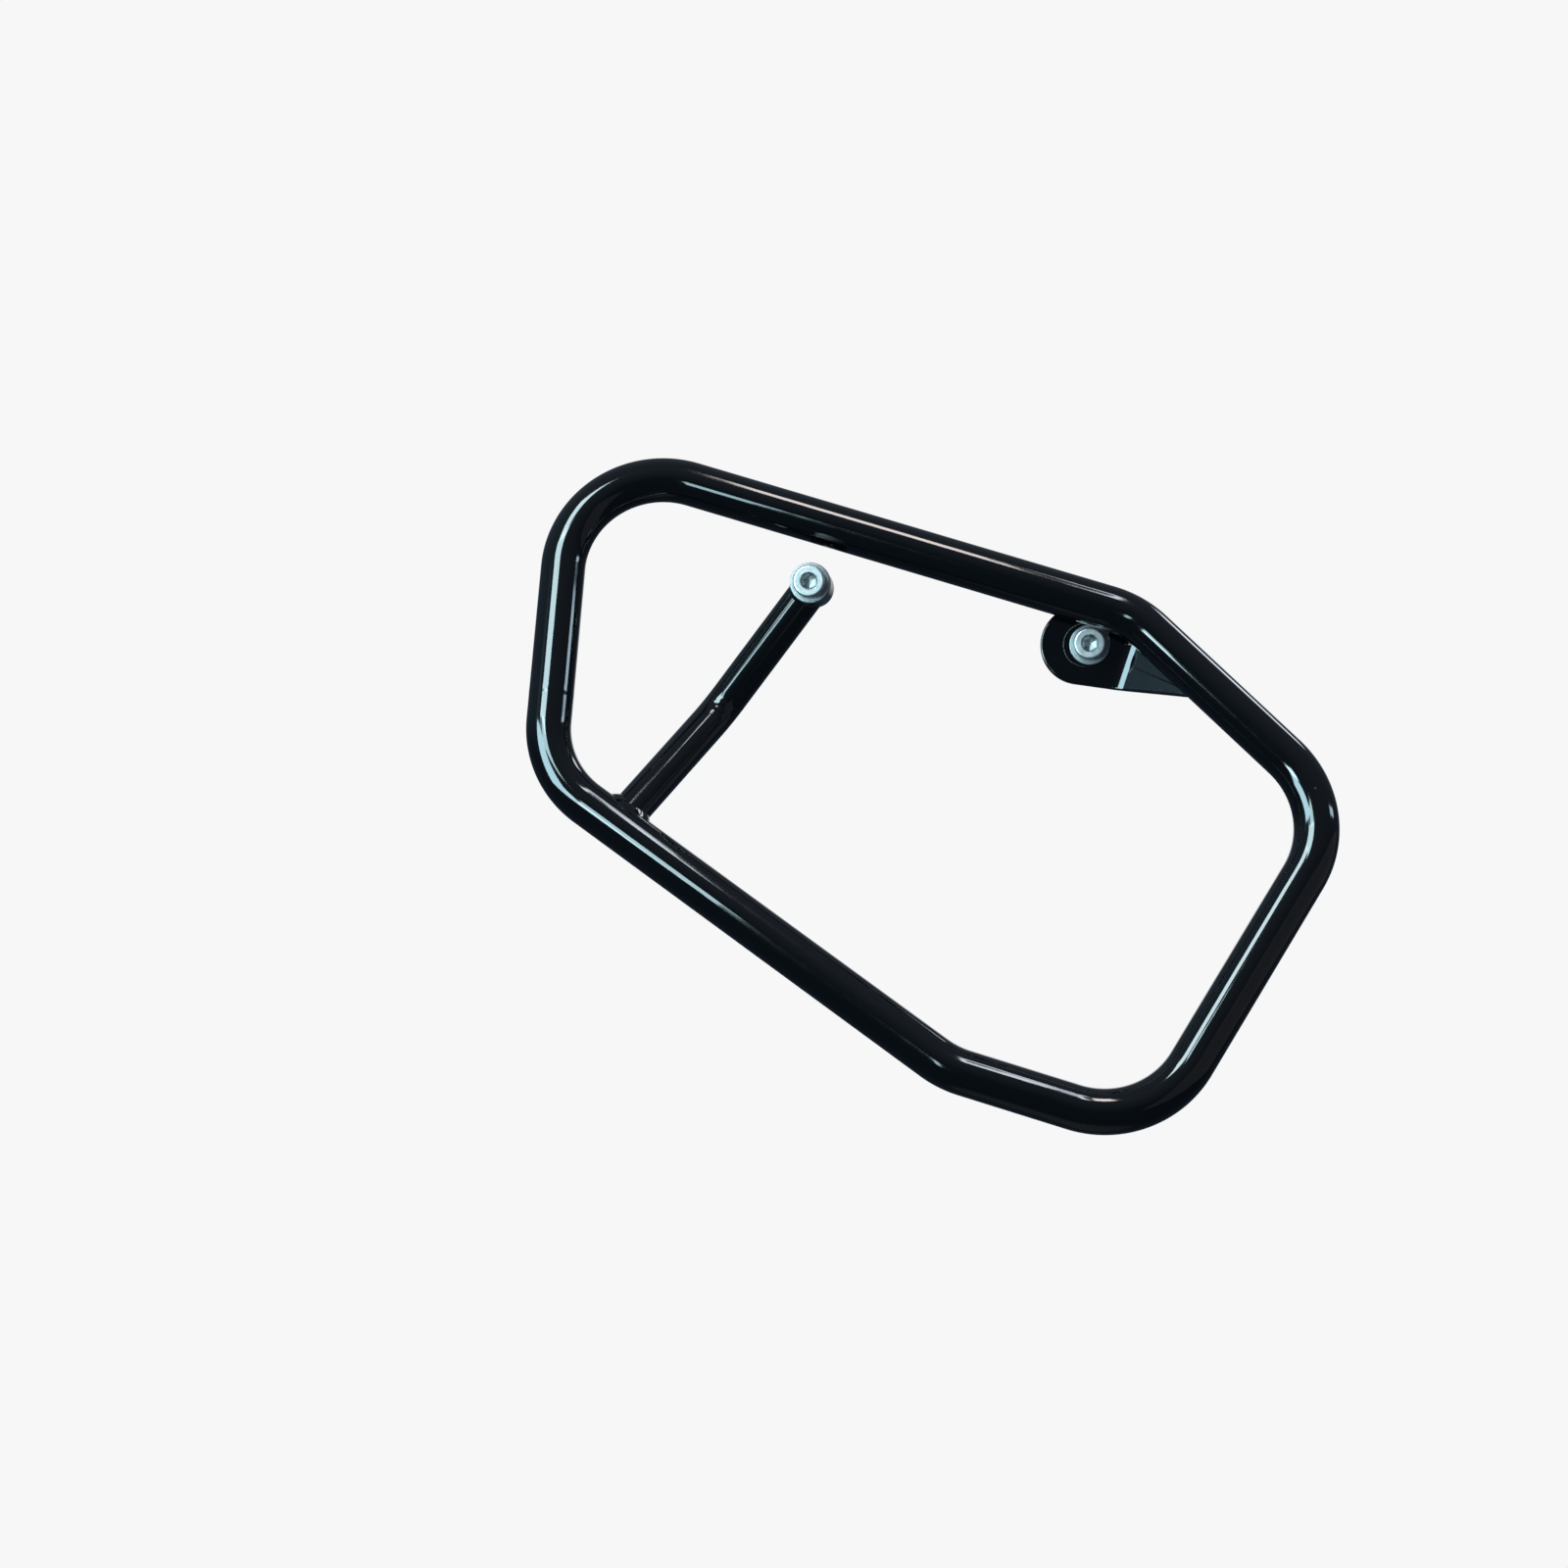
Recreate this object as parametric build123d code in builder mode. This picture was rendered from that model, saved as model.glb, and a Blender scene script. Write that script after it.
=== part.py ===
from build123d import *
import os

# Pannier frame for the right-hand side of a motorbike: a bent tube hoop, held by a folded bracket
# at the front and by a bent stay with a bush at the rear, with its two fixing bolts.
# X points forward, Y in towards the bike and Z up. The bike's mounting face is the plane Y = 0,
# and the origin is the rear bolt's axis on that plane. Sizes are in millimetres and degrees.

# hoop tube
tube_od = 18.0
tube_wall = 1.5
bend_radius = 40.0

# hoop plane: the top run falls towards the front, and the hoop leans out below it
hoop_rake = 17.1
hoop_lean = 14.0
hoop_standoff = 16.0

# hoop corners, along and below the top run, from the point over the rear bolt
top_rear_reach = 109.6
top_front_past_bolt = 13.3
nose_reach = 229.3
nose_drop = 53.5
low_front_reach = 192.6
low_rear_reach = 110.9
low_drop = 199.0
tail_reach = 76.8
tail_drop = 133.7

# butt weld that closes the hoop on its rear run
seam_from_tail = 33.0
seam_gap = 2.0
seam_width = 5.0
seam_crown = 0.15

# stay from the lower run up to the rear bolt
stay_od = 15.0
stay_wall = 1.5
stay_bend_radius = 26.0
stay_slope = 53.0
stay_upper_length = 64.2
stay_foot_from_tail = 36.6

# bush on the stay's upper end
bush_od = 16.0
bush_bore = 8.6
bush_length = 22.0
bush_chamfer = 0.6

# fillet welds
foot_weld_leg = 2.4
foot_weld_round = 1.9
bush_weld_leg = 1.6
bush_weld_round = 1.2

# folded front bracket
plate = 4.0
tab_round = 16.0
tab_end_offset = 4.0
wing_reach = 44.5
wing_cover = 5.0
fold_from_bolt = 17.5
fold_slant = 71.5
fold_angle = 32.0
fold_inner_radius = 10.0
plate_edge_round = 0.8
slot_width = 9.0
slot_travel = 1.9
seat_depth = 0.8
seat_clearance = 0.3
seat_edge_round = 0.4
bracket_weld_round = 3.0

# front bolt, from the rear bolt
front_bolt_ahead = 112.2
front_bolt_below = 24.3

# socket head cap screws and washers
bolt_diameter = 8.0
thread_mean = 7.2
thread_chamfer = 1.2
head_diameter = 13.0
head_height = 8.0
head_edge_round = 1.0
socket_across_flats = 6.0
socket_sides = 6
socket_depth = 4.2
rear_bolt_length = 45.0
front_bolt_length = 25.0
washer_bore = 8.4
washer_thickness = 1.6
washer_edge = 0.3
washer_od = 16.5

# reach of the tools that trim a piece, past what they trim
trim_reach = 60.0

# directions
outboard = Vector(0, -1, 0)
top_run_dir = Vector(1, 0, 0).rotate(Axis.Y, hoop_rake)
top_run_up = Vector(0, 0, 1).rotate(Axis.Y, hoop_rake)
hoop_normal = outboard.rotate(Axis((0, 0, 0), top_run_dir), -hoop_lean)

# the top run of the hoop passes just over the front bolt's head
front_bolt_at = Vector(front_bolt_ahead, 0, -front_bolt_below)
hoop_rise = front_bolt_at.dot(top_run_up) + (head_diameter + tube_od) / 2
hoop_plane = Plane(
    origin=top_run_up * hoop_rise + outboard * hoop_standoff,
    x_dir=top_run_dir,
    z_dir=hoop_normal,
)

# hoop corners in the hoop's plane: the front end of the top run lies just past the front bolt
top_rear = Vector(-top_rear_reach, 0)
top_front = Vector(front_bolt_at.dot(top_run_dir) + top_front_past_bolt, 0)
nose = Vector(nose_reach, -nose_drop)
low_front = Vector(low_front_reach, -low_drop)
low_rear = Vector(low_rear_reach, -low_drop)
tail = Vector(-tail_reach, -tail_drop)
rear_run_dir = (top_rear - tail).normalized()
seam = tail + rear_run_dir * seam_from_tail
seam_low = seam - rear_run_dir * (seam_gap / 2)
seam_high = seam + rear_run_dir * (seam_gap / 2)
hoop_corners = [seam_low, tail, low_rear, low_front, nose, top_front, top_rear, seam_high]


def in_space(point):
    # a point of the hoop's plane, in the part's frame
    return hoop_plane.from_local_coords((point.X, point.Y, 0))


# stay points and directions
tail_at = in_space(tail)
lower_run_dir = (in_space(low_rear) - tail_at).normalized()
stay_foot = tail_at + lower_run_dir * stay_foot_from_tail
stay_top = outboard * (bush_length / 2)
stay_bend = stay_top + Vector(-1, 0, 0).rotate(Axis.Y, -stay_slope) * stay_upper_length
stay_foot_dir = (stay_bend - stay_foot).normalized()
stay_top_dir = (stay_bend - stay_top).normalized()

# front bracket points and directions
tab_centre = (front_bolt_ahead - tab_end_offset, -front_bolt_below)
slot_centre = (front_bolt_ahead - slot_travel / 2, -front_bolt_below)
fold_dir = Vector(1, 0, 0).rotate(Axis.Y, -fold_slant)
fold_ahead = fold_dir.rotate(Axis.Y, 90)
fold_plane = Plane(
    origin=front_bolt_at + Vector(fold_from_bolt, 0, 0),
    x_dir=fold_ahead,
    z_dir=fold_dir,
)
top_front_at = in_space(top_front)
front_run_dir = (in_space(nose) - top_front_at).normalized()
front_run_in = front_run_dir.rotate(Axis.Y, 90)
wing_normal = fold_plane.y_dir.rotate(Axis((0, 0, 0), fold_dir), -fold_angle)
wing_high = top_front_at + front_run_in * wing_cover
wing_low = wing_high + front_run_dir * wing_reach

# the hoop: one bent tube, open only at its seam
with BuildPart() as hoop_tube:
    with BuildLine() as hoop_axis:
        FilletPolyline([in_space(corner) for corner in hoop_corners], radius=bend_radius)
    with BuildSketch(Plane(hoop_axis.line @ 0, z_dir=hoop_axis.line % 0)):
        Circle(tube_od / 2)
        Circle(tube_od / 2 - tube_wall, mode=Mode.SUBTRACT)
    sweep(path=hoop_axis.line)

# the butt weld: it fills the seam's gap and stands a little proud of the tube
seam_section = Plane(in_space(seam), x_dir=in_space(top_rear) - tail_at, z_dir=hoop_normal)
with BuildPart() as hoop_seam_weld:
    with BuildSketch(seam_section):
        with BuildLine():
            Polyline(
                (-seam_width / 2, tube_od / 2),
                (-seam_gap / 2, tube_od / 2),
                (-seam_gap / 2, tube_od / 2 - tube_wall),
                (seam_gap / 2, tube_od / 2 - tube_wall),
                (seam_gap / 2, tube_od / 2),
                (seam_width / 2, tube_od / 2),
            )
            ThreePointArc(
                (-seam_width / 2, tube_od / 2), (0, tube_od / 2 + seam_crown), (seam_width / 2, tube_od / 2)
            )
        make_face()
    revolve(axis=Axis(seam_section.origin, seam_section.x_dir))

# the bush: turned, drilled for the rear bolt
with BuildPart() as stay_bush:
    with BuildSketch(Plane.XZ):
        Circle(bush_od / 2)
        Circle(bush_bore / 2, mode=Mode.SUBTRACT)
    extrude(amount=bush_length)
    chamfer(stay_bush.edges().filter_by(GeomType.CIRCLE).group_by(SortBy.RADIUS)[-1], bush_chamfer)

# the stay: bent once, coped to the bush at its top and to the hoop at its foot
with BuildPart() as stay_tube:
    with BuildLine() as stay_axis:
        FilletPolyline(stay_top, stay_bend, stay_foot, radius=stay_bend_radius)
    with BuildSketch(Plane(stay_top, z_dir=stay_top_dir)):
        Circle(stay_od / 2)
        Circle(stay_od / 2 - stay_wall, mode=Mode.SUBTRACT)
    sweep(path=stay_axis.line)
    with BuildSketch(Plane.XZ):
        Circle(bush_od / 2)
    extrude(amount=bush_length, mode=Mode.SUBTRACT)
    with BuildSketch(Plane(stay_foot, z_dir=lower_run_dir)):
        Circle(tube_od / 2)
    extrude(amount=tube_od, both=True, mode=Mode.SUBTRACT)

# fillet weld round the stay's foot
with BuildPart() as stay_foot_weld:
    with BuildSketch(Plane(stay_foot, z_dir=stay_foot_dir)):
        Circle(stay_od / 2 + foot_weld_leg)
    extrude(amount=tube_od)
    with BuildSketch(Plane(stay_foot, z_dir=lower_run_dir)):
        Circle(tube_od / 2 + foot_weld_leg)
    extrude(amount=tube_od, both=True, mode=Mode.INTERSECT)
    fillet(stay_foot_weld.edges().sort_by(Axis(stay_foot, stay_foot_dir))[-1], foot_weld_round)
    with BuildSketch(Plane(stay_foot, z_dir=stay_foot_dir)):
        Circle(stay_od / 2)
    extrude(amount=tube_od, mode=Mode.SUBTRACT)
    with BuildSketch(Plane(stay_foot, z_dir=lower_run_dir)):
        Circle(tube_od / 2)
    extrude(amount=tube_od, both=True, mode=Mode.SUBTRACT)

# fillet weld round the stay's top, on the bush
with BuildPart() as stay_bush_weld:
    with BuildSketch(Plane(stay_top, z_dir=stay_top_dir)):
        Circle(stay_od / 2 + bush_weld_leg)
    extrude(amount=bush_od)
    with BuildSketch(Plane.XZ):
        Circle(bush_od / 2 + bush_weld_leg)
    extrude(amount=bush_length, mode=Mode.INTERSECT)
    fillet(stay_bush_weld.edges().sort_by(Axis(stay_top, stay_top_dir))[-1], bush_weld_round)
    with BuildSketch(Plane(stay_top, z_dir=stay_top_dir)):
        Circle(stay_od / 2)
    extrude(amount=bush_od, mode=Mode.SUBTRACT)
    with BuildSketch(Plane.XZ):
        Circle(bush_od / 2)
    extrude(amount=bush_length, mode=Mode.SUBTRACT)

# section of the bracket's sheet: flat along the tab, then out along the wing
with BuildSketch(fold_plane) as sheet_section:
    with BuildLine():
        FilletPolyline(
            (-trim_reach, -plate / 2),
            (0, -plate / 2),
            Vector(trim_reach, 0).rotate(Axis.Z, -fold_angle) - Vector(0, plate / 2),
            radius=fold_inner_radius + plate / 2,
        )
    trace(line_width=plate)

# the bracket's outline from the side: the tab's round end, drawn out to the hoop
with BuildSketch(Plane.XZ) as bracket_outline:
    with BuildLine():
        CenterArc(tab_centre, tab_round, 0, 360)
        Line((wing_high.X, wing_high.Z), (wing_low.X, wing_low.Z))
    make_hull()

# the front bracket: folded sheet, cut to its outline, with a slot in a sunk seat that lets the washer
# slide along it, and coped to the hoop
with BuildPart() as front_bracket:
    extrude(sheet_section.sketch, amount=trim_reach, both=True)
    extrude(bracket_outline.sketch, amount=trim_reach, both=True, mode=Mode.INTERSECT)
    wing_end = front_bracket.faces().sort_by(lambda wall: wall.normal_at().dot(front_run_in))[0]
    sheet_edges = front_bracket.edges().filter_by(Axis.Y, reverse=True) - wing_end.edges()
    fillet(sheet_edges.filter_by(Axis(front_bolt_at, fold_dir), reverse=True), plate_edge_round)
    with BuildSketch(Plane.XZ.offset(plate)):
        with Locations(slot_centre):
            SlotCenterToCenter(slot_travel, washer_od + 2 * seat_clearance)
    extrude(amount=-seat_depth, mode=Mode.SUBTRACT)
    fillet(front_bracket.edges(Select.LAST).group_by(Axis.Y)[0], seat_edge_round)
    with BuildSketch(Plane.XZ):
        with Locations(slot_centre):
            SlotCenterToCenter(slot_travel, slot_width)
    extrude(amount=plate, mode=Mode.SUBTRACT)
    with BuildLine() as coped_axis:
        FilletPolyline(
            top_front_at - top_run_dir * trim_reach,
            top_front_at,
            top_front_at + front_run_dir * trim_reach,
            radius=bend_radius,
        )
    with BuildSketch(Plane(coped_axis.line @ 0, z_dir=top_run_dir)):
        Circle(tube_od / 2)
    sweep(path=coped_axis.line, mode=Mode.SUBTRACT)
    cope = front_bracket.faces(Select.LAST).filter_by(GeomType.CYLINDER).sort_by(SortBy.AREA)[-1]

# the bracket's weld: a bead in the corner between the wing's back and the hoop
weld_line = cope.edges().sort_by(Axis(top_front_at, wing_normal))[-1]
with BuildPart() as bracket_weld:
    with BuildSketch(Plane(weld_line @ 0, z_dir=weld_line % 0)):
        Circle(bracket_weld_round)
    sweep(path=weld_line)
    extrude(sheet_section.sketch, amount=trim_reach, both=True, mode=Mode.SUBTRACT)
    with BuildSketch(Plane(top_front_at, z_dir=front_run_dir)):
        Circle(tube_od / 2)
    extrude(amount=trim_reach, mode=Mode.SUBTRACT)


def cap_screw(bearing, length):
    # socket head cap screw: its head stands on a plane, and its thread, drawn at the mean diameter,
    # starts at the mounting face
    with BuildPart() as screw:
        with BuildSketch(bearing):
            Circle(head_diameter / 2)
        extrude(amount=head_height)
        fillet(screw.faces().sort_by(Axis(bearing.origin, bearing.z_dir))[-1].edges(), head_edge_round)
        with BuildSketch(bearing.offset(head_height)):
            RegularPolygon(socket_across_flats / 2, socket_sides, major_radius=False)
        extrude(amount=-socket_depth, mode=Mode.SUBTRACT)
        with BuildSketch(bearing):
            Circle(thread_mean / 2)
        extrude(amount=-length)
        chamfer(screw.edges().sort_by(Axis(bearing.origin, bearing.z_dir))[0], thread_chamfer)
        with BuildSketch(bearing):
            Circle(bolt_diameter / 2)
        extrude(amount=bearing.origin.Y)
    return screw


def washer(seat):
    # plain washer that lies on a plane
    with BuildPart() as ring:
        with BuildSketch(seat):
            Circle(washer_od / 2)
            Circle(washer_bore / 2, mode=Mode.SUBTRACT)
        extrude(amount=washer_thickness)
        chamfer(ring.edges().filter_by(GeomType.CIRCLE).group_by(SortBy.RADIUS)[-1], washer_edge)
    return ring


rear_seat = Plane(outboard * bush_length, z_dir=outboard)
front_seat = Plane(front_bolt_at + outboard * (plate - seat_depth), z_dir=outboard)

pieces = {
    "hoop_tube": hoop_tube,
    "hoop_seam_weld": hoop_seam_weld,
    "stay_tube": stay_tube,
    "stay_foot_weld": stay_foot_weld,
    "stay_bush": stay_bush,
    "stay_bush_weld": stay_bush_weld,
    "front_bracket": front_bracket,
    "bracket_weld": bracket_weld,
    "rear_washer": washer(rear_seat),
    "rear_bolt": cap_screw(rear_seat.offset(washer_thickness), rear_bolt_length),
    "front_washer": washer(front_seat),
    "front_bolt": cap_screw(front_seat.offset(washer_thickness), front_bolt_length),
}

os.makedirs("parts", exist_ok=True)
for name, piece in pieces.items():
    piece.part.label = name
    export_step(piece.part, f"parts/{name}.step")
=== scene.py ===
import bmesh
import bpy
import numpy as np
from mathutils import Matrix, Vector


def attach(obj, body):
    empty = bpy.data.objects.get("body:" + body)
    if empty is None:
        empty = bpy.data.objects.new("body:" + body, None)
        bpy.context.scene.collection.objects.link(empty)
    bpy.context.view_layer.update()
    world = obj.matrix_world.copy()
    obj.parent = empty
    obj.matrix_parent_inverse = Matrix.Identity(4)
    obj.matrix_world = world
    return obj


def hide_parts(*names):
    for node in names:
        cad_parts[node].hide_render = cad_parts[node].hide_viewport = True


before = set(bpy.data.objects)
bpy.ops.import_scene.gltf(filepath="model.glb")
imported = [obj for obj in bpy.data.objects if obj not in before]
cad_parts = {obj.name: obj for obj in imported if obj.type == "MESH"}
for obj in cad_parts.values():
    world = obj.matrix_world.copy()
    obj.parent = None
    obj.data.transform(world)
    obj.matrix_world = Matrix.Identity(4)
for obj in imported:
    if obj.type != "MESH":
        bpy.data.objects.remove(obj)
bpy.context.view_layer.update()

mm = 0.001                     # sizes below are in millimetres, meshes in metres
scene = bpy.context.scene
print("frame loaded:", len(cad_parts), "nodes")


def unit(v):
    v = np.asarray(v, float)
    return v / np.linalg.norm(v, axis=-1, keepdims=True)


def turns(count):
    # even angles round one full turn
    return np.linspace(0, 2 * np.pi, count, endpoint=False)


def gridFaces(rows, columns, closeRows=False):
    # quads between neighbouring rows of a grid whose columns close on themselves
    row, column = np.meshgrid(np.arange(rows if closeRows else rows - 1), np.arange(columns), indexing="ij")
    down, right = (row + 1) % rows, (column + 1) % columns
    quads = (row * columns + column, row * columns + right, down * columns + right, down * columns + column)
    return np.stack(quads, axis=-1).reshape(-1, 4).tolist()


def fanFaces(firstIndex, columns, centreIndex):
    # triangles from one ring of the grid to a single point
    ring = np.arange(columns)
    return np.stack((firstIndex + ring, firstIndex + (ring + 1) % columns,
                     np.full(columns, centreIndex)), axis=-1).tolist()


def cappedFaces(rows, columns):
    # open grid whose first and last ring each close to a point, the two points stored after the grid
    return gridFaces(rows, columns) + fanFaces(0, columns, rows * columns) \
        + fanFaces((rows - 1) * columns, columns, rows * columns + 1)


def makePiece(name, points, faces, material, stands, sharpAngle=35):
    # mesh from arrays, outward normals, smooth but for edges past the angle, carried by the root body
    mesh = bpy.data.meshes.new(name)
    mesh.from_pydata((np.asarray(points).reshape(-1, 3) * mm).tolist(), [], faces)
    work = bmesh.new()
    work.from_mesh(mesh)
    bmesh.ops.recalc_face_normals(work, faces=work.faces)
    work.to_mesh(mesh)
    work.free()
    mesh.polygons.foreach_set("use_smooth", np.ones(len(mesh.polygons), bool))
    mesh.set_sharp_from_angle(angle=np.radians(sharpAngle))
    mesh.materials.append(material)
    piece = bpy.data.objects.new(name, mesh)
    scene.collection.objects.link(piece)
    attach(piece, "root")
    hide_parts(stands)
    print("piece", name, len(mesh.vertices), "vertices")
    return piece


def makeClosed(name, grid, material, stands, sharpAngle=35):
    # piece from a grid of points that closes on itself both ways
    return makePiece(name, grid, gridFaces(*grid.shape[:2], True), material, stands, sharpAngle)


# materials

def nodeIn(tree, kind, links=None, **settings):
    # a node with its plain settings; sockets get a value or, where given an output socket, a link
    node = tree.nodes.new(kind)
    for key, value in settings.items():
        setattr(node, key, value)
    for key, value in (links or {}).items():
        socket = node.inputs[key]
        if isinstance(value, bpy.types.NodeSocket):
            tree.links.new(value, socket)
        else:
            socket.default_value = value
    return node


def newGroup(name, inputs, outputs):
    group = bpy.data.node_groups.new(name, "ShaderNodeTree")
    for label, default in inputs.items():
        socket = group.interface.new_socket(label, in_out="INPUT", socket_type="NodeSocketFloat")
        socket.default_value = default
    for label in outputs:
        group.interface.new_socket(label, in_out="OUTPUT", socket_type="NodeSocketFloat")
    return group, group.nodes.new("NodeGroupInput").outputs, group.nodes.new("NodeGroupOutput").inputs


def buildPaintSkin():
    # sprayed skin: long soft waves of orange peel with a faint ripple on top, as one height
    ripplesPerWave = 3.1
    group, given, put = newGroup("paintSkin", {"Peel Size": 110.0, "Ripple Share": 0.05}, ("Height",))
    place = nodeIn(group, "ShaderNodeTexCoord").outputs["Object"]
    peel = nodeIn(group, "ShaderNodeTexNoise", {"Vector": place, "Scale": given["Peel Size"], "Detail": 0.0})
    fineScale = nodeIn(group, "ShaderNodeMath", {0: given["Peel Size"], 1: ripplesPerWave},
                       operation="MULTIPLY")
    ripple = nodeIn(group, "ShaderNodeTexNoise", {"Vector": place, "Scale": fineScale.outputs[0],
                                                  "Detail": 0.0})
    both = nodeIn(group, "ShaderNodeMath", {0: ripple.outputs[0], 1: given["Ripple Share"],
                                            2: peel.outputs[0]}, operation="MULTIPLY_ADD")
    group.links.new(both.outputs[0], put["Height"])
    return group


def buildSpecks():
    # specks: a few of the cells of a Voronoi pattern hold a dot, and each dot has its own size
    group, given, put = newGroup("specks", {"Cells": 120.0, "Share": 0.12, "Dot Size": 0.08}, ("Mask",))
    place = nodeIn(group, "ShaderNodeTexCoord").outputs["Object"]
    cells = nodeIn(group, "ShaderNodeTexVoronoi", {"Vector": place, "Scale": given["Cells"],
                                                   "Randomness": 1.0})
    pick = nodeIn(group, "ShaderNodeSeparateColor", {"Color": cells.outputs["Color"]})
    chosen = nodeIn(group, "ShaderNodeMath", {0: pick.outputs[0], 1: given["Share"]}, operation="LESS_THAN")
    reach = nodeIn(group, "ShaderNodeMath", {0: pick.outputs[1], 1: given["Dot Size"]}, operation="MULTIPLY")
    inside = nodeIn(group, "ShaderNodeMath", {0: cells.outputs["Distance"], 1: reach.outputs[0]},
                    operation="LESS_THAN")
    both = nodeIn(group, "ShaderNodeMath", {0: chosen.outputs[0], 1: inside.outputs[0]}, operation="MULTIPLY")
    group.links.new(both.outputs[0], put["Mask"])
    return group


def buildHandling():
    # cloudy wipe marks: two noises of different size multiplied, 0 where clean and 1 where dull
    cleanBelow, dullAbove = 0.15, 0.42
    group, given, put = newGroup("handling", {"Cloud Size": 22.0, "Streak Size": 140.0}, ("Dull",))
    place = nodeIn(group, "ShaderNodeTexCoord").outputs["Object"]
    cloud = nodeIn(group, "ShaderNodeTexNoise", {"Vector": place, "Scale": given["Cloud Size"],
                                                 "Detail": 3.0})
    streak = nodeIn(group, "ShaderNodeTexNoise", {"Vector": place, "Scale": given["Streak Size"],
                                                  "Detail": 4.0, "Distortion": 0.6})
    product = nodeIn(group, "ShaderNodeMath", {0: cloud.outputs[0], 1: streak.outputs[0]},
                     operation="MULTIPLY")
    spread = nodeIn(group, "ShaderNodeMapRange", {"Value": product.outputs[0], "From Min": cleanBelow,
                                                  "From Max": dullAbove})
    group.links.new(spread.outputs[0], put["Dull"])
    return group


paintSkin, specks, handling = buildPaintSkin(), buildSpecks(), buildHandling()


def placeGroup(tree, group, **values):
    node = tree.nodes.new("ShaderNodeGroup")
    node.node_tree = group
    for label, value in values.items():
        node.inputs[label.replace("_", " ")].default_value = value
    return node


def newMaterial(name):
    material = bpy.data.materials.new(name)
    material.use_nodes = True
    return material, material.node_tree, material.node_tree.nodes["Principled BSDF"]


def mixColours(tree, amount, first, second):
    # mix of two colours, each a value or an output socket
    node = nodeIn(tree, "ShaderNodeMix", {0: amount}, data_type="RGBA")
    for socket, colour in zip([s for s in node.inputs if s.type == "RGBA"], (first, second)):
        if isinstance(colour, bpy.types.NodeSocket):
            tree.links.new(colour, socket)
        else:
            socket.default_value = colour
    return [s for s in node.outputs if s.type == "RGBA"][0]


paintLook = {"black": (0.0015, 0.0020, 0.0026, 1), "speck": (0.10, 0.11, 0.12, 1), "clean": 0.05,
             "dull": 0.10, "peelDepth": 0.00003, "nibHeight": 0.02, "coatIor": 1.6, "coatRough": 0.07}


def blackPaint(name, peelSize, rippleShare):
    # gloss black lacquer: wavy skin, wipe marks in the gloss and a few pale nibs
    material, tree, bsdf = newMaterial(name)
    skin = placeGroup(tree, paintSkin, Peel_Size=peelSize, Ripple_Share=rippleShare)
    nibs = placeGroup(tree, specks)
    marks = placeGroup(tree, handling)
    tree.links.new(mixColours(tree, nibs.outputs[0], paintLook["black"], paintLook["speck"]),
                   bsdf.inputs["Base Color"])
    gloss = nodeIn(tree, "ShaderNodeMapRange", {"Value": marks.outputs[0], "To Min": paintLook["clean"],
                                                "To Max": paintLook["dull"]})
    tree.links.new(gloss.outputs[0], bsdf.inputs["Roughness"])
    raised = nodeIn(tree, "ShaderNodeMath", {0: nibs.outputs[0], 1: paintLook["nibHeight"],
                                             2: skin.outputs[0]}, operation="MULTIPLY_ADD")
    bump = nodeIn(tree, "ShaderNodeBump", {"Height": raised.outputs[0], "Strength": 1.0,
                                           "Distance": paintLook["peelDepth"]})
    tree.links.new(bump.outputs[0], bsdf.inputs["Normal"])
    tree.links.new(bump.outputs[0], bsdf.inputs["Coat Normal"])
    bsdf.inputs["Coat Weight"].default_value = 1.0
    bsdf.inputs["Coat IOR"].default_value = paintLook["coatIor"]
    bsdf.inputs["Coat Roughness"].default_value = paintLook["coatRough"]
    return material


tubePaint = blackPaint("tubePaint", peelSize=110.0, rippleShare=0.02)
platePaint = blackPaint("platePaint", peelSize=90.0, rippleShare=0.02)
weldPaint = blackPaint("weldPaint", peelSize=150.0, rippleShare=0.03)

# zinc look, with the darker colour and roughness of its painted shade
zincLook = {"bright": (0.92, 0.92, 0.90, 1), "tinted": (0.75, 0.77, 0.78, 1), "smooth": 0.36, "matt": 0.50,
            "paintedShade": (0.50, 0.54, 0.55, 1), "paintedShadeRough": 0.42, "patchScale": 190.0, "patchFrom": 0.4,
            "patchTo": 0.7, "cloudSize": 120.0, "streakSize": 700.0, "grainScale": 900.0,
            "grainDepth": 0.00002, "grainStrength": 0.5}


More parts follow.
